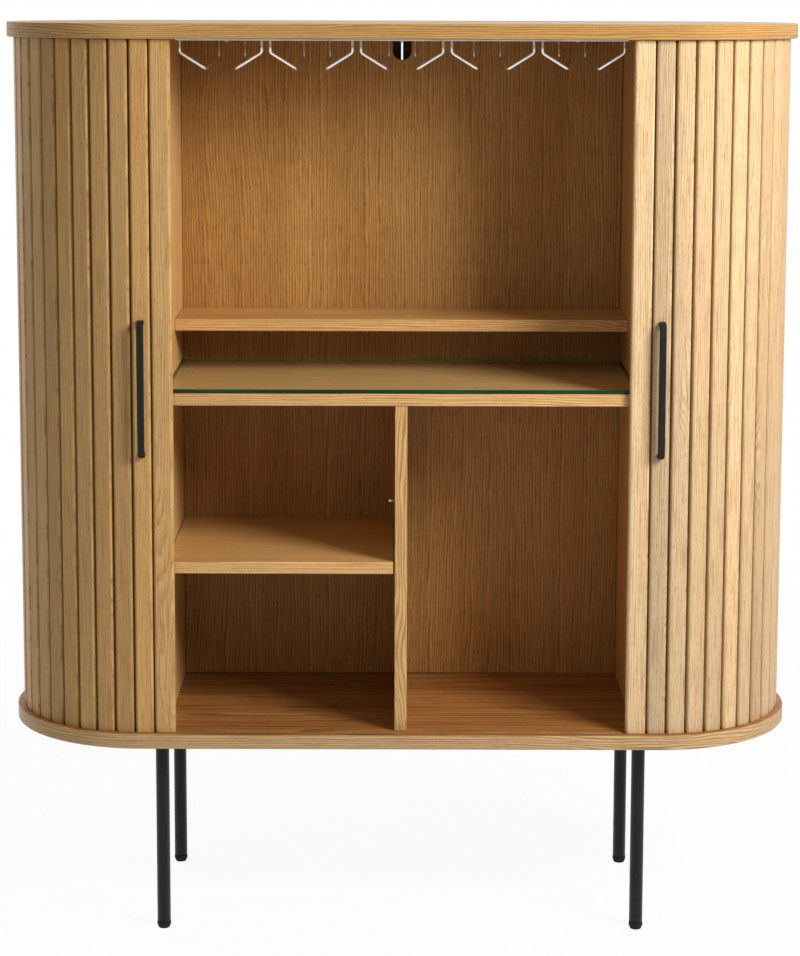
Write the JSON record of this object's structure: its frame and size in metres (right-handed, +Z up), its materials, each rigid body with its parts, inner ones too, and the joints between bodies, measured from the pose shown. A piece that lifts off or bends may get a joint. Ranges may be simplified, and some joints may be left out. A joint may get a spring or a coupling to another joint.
{
  "type": "tall bar sideboard",
  "caption": "Free-standing bar cabinet with half-round ends, tambour doors, shelves, glass plate and hanging stemware rack on slim round legs.",
  "frame": {"origin": "on the floor, below the middle of the cabinet", "axes": "+X towards the cabinet's right-hand end as seen from the front, front towards -Y, +Z up"},
  "size_m": [1.18, 0.428, 1.354],
  "materials": {
    "oak_top": "matt lacquered oak veneer",
    "oak_base": "matt lacquered oak veneer",
    "oak_boards": "matt lacquered oak veneer",
    "oak_back": "matt lacquered oak veneer",
    "oak_slats": "matt lacquered oak veneer",
    "clear_glass": "polished clear",
    "chrome_wire": "bright plated",
    "black_steel": "satin black",
    "black_plastic": "matt black"
  },
  "bodies": {
    "carcass": {"top_panel": "oak_top", "base_panel": "oak_base", "left_side_panel": "oak_boards", "right_side_panel": "oak_boards", "inner_back_panel": "oak_back", "middle_shelf": "oak_boards", "upper_shelf": "oak_boards", "centre_divider": "oak_boards", "lower_shelf": "oak_boards", "glass_shelf": "clear_glass", "leg_front_left": "black_steel", "foot_front_left": "black_plastic", "leg_front_right": "black_steel", "foot_front_right": "black_plastic", "leg_rear_left": "black_steel", "foot_rear_left": "black_plastic", "leg_rear_right": "black_steel", "foot_rear_right": "black_plastic", "stemware_rack": "chrome_wire"},
    "right_lead": {"door_lead_right": "oak_slats", "door_handle_right": "black_steel"},
    "right_slat_03": {"door_slat_03_right": "oak_slats"},
    "right_slat_04": {"door_slat_04_right": "oak_slats"},
    "right_slat_05": {"door_slat_05_right": "oak_slats"},
    "right_slat_06": {"door_slat_06_right": "oak_slats"},
    "right_slat_07": {"door_slat_07_right": "oak_slats"},
    "right_slat_08": {"door_slat_08_right": "oak_slats"},
    "right_slat_09": {"door_slat_09_right": "oak_slats"},
    "right_slat_10": {"door_slat_10_right": "oak_slats"},
    "right_slat_11": {"door_slat_11_right": "oak_slats"},
    "right_slat_12": {"door_slat_12_right": "oak_slats"},
    "right_slat_13": {"door_slat_13_right": "oak_slats"},
    "right_end_slats": {"door_end_slats_right": "oak_slats"},
    "right_slats_24_25": {"door_slats_24_25_right": "oak_slats"},
    "right_slats_26_27": {"door_slats_26_27_right": "oak_slats"},
    "right_slats_28_29": {"door_slats_28_29_right": "oak_slats"},
    "right_slats_30_31": {"door_slats_30_31_right": "oak_slats"},
    "right_slats_32_34": {"door_slats_32_34_right": "oak_slats"},
    "right_tail_slats": {"door_tail_slats_right": "oak_slats"},
    "left_lead": {"door_lead_left": "oak_slats", "door_handle_left": "black_steel"},
    "left_slat_03": {"door_slat_03_left": "oak_slats"},
    "left_slat_04": {"door_slat_04_left": "oak_slats"},
    "left_slat_05": {"door_slat_05_left": "oak_slats"},
    "left_slat_06": {"door_slat_06_left": "oak_slats"},
    "left_slat_07": {"door_slat_07_left": "oak_slats"},
    "left_slat_08": {"door_slat_08_left": "oak_slats"},
    "left_slat_09": {"door_slat_09_left": "oak_slats"},
    "left_slat_10": {"door_slat_10_left": "oak_slats"},
    "left_slat_11": {"door_slat_11_left": "oak_slats"},
    "left_slat_12": {"door_slat_12_left": "oak_slats"},
    "left_slat_13": {"door_slat_13_left": "oak_slats"},
    "left_end_slats": {"door_end_slats_left": "oak_slats"},
    "left_slats_24_25": {"door_slats_24_25_left": "oak_slats"},
    "left_slats_26_27": {"door_slats_26_27_left": "oak_slats"},
    "left_slats_28_29": {"door_slats_28_29_left": "oak_slats"},
    "left_slats_30_31": {"door_slats_30_31_left": "oak_slats"},
    "left_slats_32_34": {"door_slats_32_34_left": "oak_slats"},
    "left_tail_slats": {"door_tail_slats_left": "oak_slats"}
  },
  "joints": [
    {"name": "right_door_slide", "type": "slide", "parent": "carcass", "child": "right_lead", "axis": [-1, 0, 0], "range_m": [0, 0.3305]},
    {"name": "right_slat_03_turn", "type": "hinge", "parent": "carcass", "child": "right_slat_03", "pos_m": [0.22704, 2.37458, 0.82425], "axis": [0, 0, -1], "range_deg": [0, 7.37]},
    {"name": "right_slat_04_turn", "type": "hinge", "parent": "carcass", "child": "right_slat_04", "pos_m": [0.24129, 0.99162, 0.82425], "axis": [0, 0, -1], "range_deg": [0, 15.93]},
    {"name": "right_slat_05_turn", "type": "hinge", "parent": "carcass", "child": "right_slat_05", "pos_m": [0.25555, 0.57367, 0.82425], "axis": [0, 0, -1], "range_deg": [0, 24.48]},
    {"name": "right_slat_06_turn", "type": "hinge", "parent": "carcass", "child": "right_slat_06", "pos_m": [0.26981, 0.3716, 0.82425], "axis": [0, 0, -1], "range_deg": [0, 33.03]},
    {"name": "right_slat_07_turn", "type": "hinge", "parent": "carcass", "child": "right_slat_07", "pos_m": [0.28407, 0.25263, 0.82425], "axis": [0, 0, -1], "range_deg": [0, 41.59]},
    {"name": "right_slat_08_turn", "type": "hinge", "parent": "carcass", "child": "right_slat_08", "pos_m": [0.29833, 0.17459, 0.82425], "axis": [0, 0, -1], "range_deg": [0, 50.14]},
    {"name": "right_slat_09_turn", "type": "hinge", "parent": "carcass", "child": "right_slat_09", "pos_m": [0.31258, 0.1199, 0.82425], "axis": [0, 0, -1], "range_deg": [0, 58.7]},
    {"name": "right_slat_10_turn", "type": "hinge", "parent": "carcass", "child": "right_slat_10", "pos_m": [0.32684, 0.07994, 0.82425], "axis": [0, 0, -1], "range_deg": [0, 67.25]},
    {"name": "right_slat_11_turn", "type": "hinge", "parent": "carcass", "child": "right_slat_11", "pos_m": [0.3411, 0.04997, 0.82425], "axis": [0, 0, -1], "range_deg": [0, 75.8]},
    {"name": "right_slat_12_turn", "type": "hinge", "parent": "carcass", "child": "right_slat_12", "pos_m": [0.35536, 0.0272, 0.82425], "axis": [0, 0, -1], "range_deg": [0, 84.36]},
    {"name": "right_slat_13_turn", "type": "hinge", "parent": "carcass", "child": "right_slat_13", "pos_m": [0.36961, 0.00987, 0.82425], "axis": [0, 0, -1], "range_deg": [0, 92.91]},
    {"name": "right_end_slats_turn", "type": "hinge", "parent": "carcass", "child": "right_end_slats", "pos_m": [0.38, 0, 0.82425], "axis": [0, 0, -1], "range_deg": [0, 99.14]},
    {"name": "right_slats_24_25_turn", "type": "hinge", "parent": "carcass", "child": "right_slats_24_25", "pos_m": [0.36017, -0.01854, 0.82425], "axis": [0, 0, -1], "range_deg": [0, 87.86]},
    {"name": "right_slats_26_27_turn", "type": "hinge", "parent": "carcass", "child": "right_slats_26_27", "pos_m": [0.3313, -0.06567, 0.82425], "axis": [0, 0, -1], "range_deg": [0, 70.75]},
    {"name": "right_slats_28_29_turn", "type": "hinge", "parent": "carcass", "child": "right_slats_28_29", "pos_m": [0.30222, -0.14901, 0.82425], "axis": [0, 0, -1], "range_deg": [0, 53.64]},
    {"name": "right_slats_30_31_turn", "type": "hinge", "parent": "carcass", "child": "right_slats_30_31", "pos_m": [0.27267, -0.31515, 0.82425], "axis": [0, 0, -1], "range_deg": [0, 36.54]},
    {"name": "right_slats_32_34_turn", "type": "hinge", "parent": "carcass", "child": "right_slats_32_34", "pos_m": [0.22278, -1.05043, 0.82425], "axis": [0, 0, -1], "range_deg": [0, 15.15]},
    {"name": "right_tail_slats_slide", "type": "slide", "parent": "carcass", "child": "right_tail_slats", "axis": [1, 0, 0], "range_m": [0, 0.3305]},
    {"name": "left_door_slide", "type": "slide", "parent": "carcass", "child": "left_lead", "axis": [1, 0, 0], "range_m": [0, 0.3305]},
    {"name": "left_slat_03_turn", "type": "hinge", "parent": "carcass", "child": "left_slat_03", "pos_m": [-0.22704, 2.37458, 0.82425], "axis": [0, 0, 1], "range_deg": [0, 7.37]},
    {"name": "left_slat_04_turn", "type": "hinge", "parent": "carcass", "child": "left_slat_04", "pos_m": [-0.24129, 0.99162, 0.82425], "axis": [0, 0, 1], "range_deg": [0, 15.93]},
    {"name": "left_slat_05_turn", "type": "hinge", "parent": "carcass", "child": "left_slat_05", "pos_m": [-0.25555, 0.57367, 0.82425], "axis": [0, 0, 1], "range_deg": [0, 24.48]},
    {"name": "left_slat_06_turn", "type": "hinge", "parent": "carcass", "child": "left_slat_06", "pos_m": [-0.26981, 0.3716, 0.82425], "axis": [0, 0, 1], "range_deg": [0, 33.03]},
    {"name": "left_slat_07_turn", "type": "hinge", "parent": "carcass", "child": "left_slat_07", "pos_m": [-0.28407, 0.25263, 0.82425], "axis": [0, 0, 1], "range_deg": [0, 41.59]},
    {"name": "left_slat_08_turn", "type": "hinge", "parent": "carcass", "child": "left_slat_08", "pos_m": [-0.29833, 0.17459, 0.82425], "axis": [0, 0, 1], "range_deg": [0, 50.14]},
    {"name": "left_slat_09_turn", "type": "hinge", "parent": "carcass", "child": "left_slat_09", "pos_m": [-0.31258, 0.1199, 0.82425], "axis": [0, 0, 1], "range_deg": [0, 58.7]},
    {"name": "left_slat_10_turn", "type": "hinge", "parent": "carcass", "child": "left_slat_10", "pos_m": [-0.32684, 0.07994, 0.82425], "axis": [0, 0, 1], "range_deg": [0, 67.25]},
    {"name": "left_slat_11_turn", "type": "hinge", "parent": "carcass", "child": "left_slat_11", "pos_m": [-0.3411, 0.04997, 0.82425], "axis": [0, 0, 1], "range_deg": [0, 75.8]},
    {"name": "left_slat_12_turn", "type": "hinge", "parent": "carcass", "child": "left_slat_12", "pos_m": [-0.35536, 0.0272, 0.82425], "axis": [0, 0, 1], "range_deg": [0, 84.36]},
    {"name": "left_slat_13_turn", "type": "hinge", "parent": "carcass", "child": "left_slat_13", "pos_m": [-0.36961, 0.00987, 0.82425], "axis": [0, 0, 1], "range_deg": [0, 92.91]},
    {"name": "left_end_slats_turn", "type": "hinge", "parent": "carcass", "child": "left_end_slats", "pos_m": [-0.38, 0, 0.82425], "axis": [0, 0, 1], "range_deg": [0, 99.14]},
    {"name": "left_slats_24_25_turn", "type": "hinge", "parent": "carcass", "child": "left_slats_24_25", "pos_m": [-0.36017, -0.01854, 0.82425], "axis": [0, 0, 1], "range_deg": [0, 87.86]},
    {"name": "left_slats_26_27_turn", "type": "hinge", "parent": "carcass", "child": "left_slats_26_27", "pos_m": [-0.3313, -0.06567, 0.82425], "axis": [0, 0, 1], "range_deg": [0, 70.75]},
    {"name": "left_slats_28_29_turn", "type": "hinge", "parent": "carcass", "child": "left_slats_28_29", "pos_m": [-0.30222, -0.14901, 0.82425], "axis": [0, 0, 1], "range_deg": [0, 53.64]},
    {"name": "left_slats_30_31_turn", "type": "hinge", "parent": "carcass", "child": "left_slats_30_31", "pos_m": [-0.27267, -0.31515, 0.82425], "axis": [0, 0, 1], "range_deg": [0, 36.54]},
    {"name": "left_slats_32_34_turn", "type": "hinge", "parent": "carcass", "child": "left_slats_32_34", "pos_m": [-0.22278, -1.05043, 0.82425], "axis": [0, 0, 1], "range_deg": [0, 15.15]},
    {"name": "left_tail_slats_slide", "type": "slide", "parent": "carcass", "child": "left_tail_slats", "axis": [-1, 0, 0], "range_m": [0, 0.3305]}
  ],
  "couplings": [
    {"joint": "right_slat_03_turn", "follows": "right_door_slide", "rad_per_m": 0.38928},
    {"joint": "right_slat_04_turn", "follows": "right_door_slide", "rad_per_m": 0.84101},
    {"joint": "right_slat_05_turn", "follows": "right_door_slide", "rad_per_m": 1.2927},
    {"joint": "right_slat_06_turn", "follows": "right_door_slide", "rad_per_m": 1.7445},
    {"joint": "right_slat_07_turn", "follows": "right_door_slide", "rad_per_m": 2.1962},
    {"joint": "right_slat_08_turn", "follows": "right_door_slide", "rad_per_m": 2.6479},
    {"joint": "right_slat_09_turn", "follows": "right_door_slide", "rad_per_m": 3.0996},
    {"joint": "right_slat_10_turn", "follows": "right_door_slide", "rad_per_m": 3.5514},
    {"joint": "right_slat_11_turn", "follows": "right_door_slide", "rad_per_m": 4.0031},
    {"joint": "right_slat_12_turn", "follows": "right_door_slide", "rad_per_m": 4.4548},
    {"joint": "right_slat_13_turn", "follows": "right_door_slide", "rad_per_m": 4.9066},
    {"joint": "right_end_slats_turn", "follows": "right_door_slide", "rad_per_m": 5.2356},
    {"joint": "right_slats_24_25_turn", "follows": "right_door_slide", "rad_per_m": 4.6398},
    {"joint": "right_slats_26_27_turn", "follows": "right_door_slide", "rad_per_m": 3.7363},
    {"joint": "right_slats_28_29_turn", "follows": "right_door_slide", "rad_per_m": 2.8328},
    {"joint": "right_slats_30_31_turn", "follows": "right_door_slide", "rad_per_m": 1.9294},
    {"joint": "right_slats_32_34_turn", "follows": "right_door_slide", "rad_per_m": 0.80006},
    {"joint": "right_tail_slats_slide", "follows": "right_door_slide", "ratio": 1},
    {"joint": "left_slat_03_turn", "follows": "left_door_slide", "rad_per_m": 0.38928},
    {"joint": "left_slat_04_turn", "follows": "left_door_slide", "rad_per_m": 0.84101},
    {"joint": "left_slat_05_turn", "follows": "left_door_slide", "rad_per_m": 1.2927},
    {"joint": "left_slat_06_turn", "follows": "left_door_slide", "rad_per_m": 1.7445},
    {"joint": "left_slat_07_turn", "follows": "left_door_slide", "rad_per_m": 2.1962},
    {"joint": "left_slat_08_turn", "follows": "left_door_slide", "rad_per_m": 2.6479},
    {"joint": "left_slat_09_turn", "follows": "left_door_slide", "rad_per_m": 3.0996},
    {"joint": "left_slat_10_turn", "follows": "left_door_slide", "rad_per_m": 3.5514},
    {"joint": "left_slat_11_turn", "follows": "left_door_slide", "rad_per_m": 4.0031},
    {"joint": "left_slat_12_turn", "follows": "left_door_slide", "rad_per_m": 4.4548},
    {"joint": "left_slat_13_turn", "follows": "left_door_slide", "rad_per_m": 4.9066},
    {"joint": "left_end_slats_turn", "follows": "left_door_slide", "rad_per_m": 5.2356},
    {"joint": "left_slats_24_25_turn", "follows": "left_door_slide", "rad_per_m": 4.6398},
    {"joint": "left_slats_26_27_turn", "follows": "left_door_slide", "rad_per_m": 3.7363},
    {"joint": "left_slats_28_29_turn", "follows": "left_door_slide", "rad_per_m": 2.8328},
    {"joint": "left_slats_30_31_turn", "follows": "left_door_slide", "rad_per_m": 1.9294},
    {"joint": "left_slats_32_34_turn", "follows": "left_door_slide", "rad_per_m": 0.80006},
    {"joint": "left_tail_slats_slide", "follows": "left_door_slide", "ratio": 1}
  ]
}
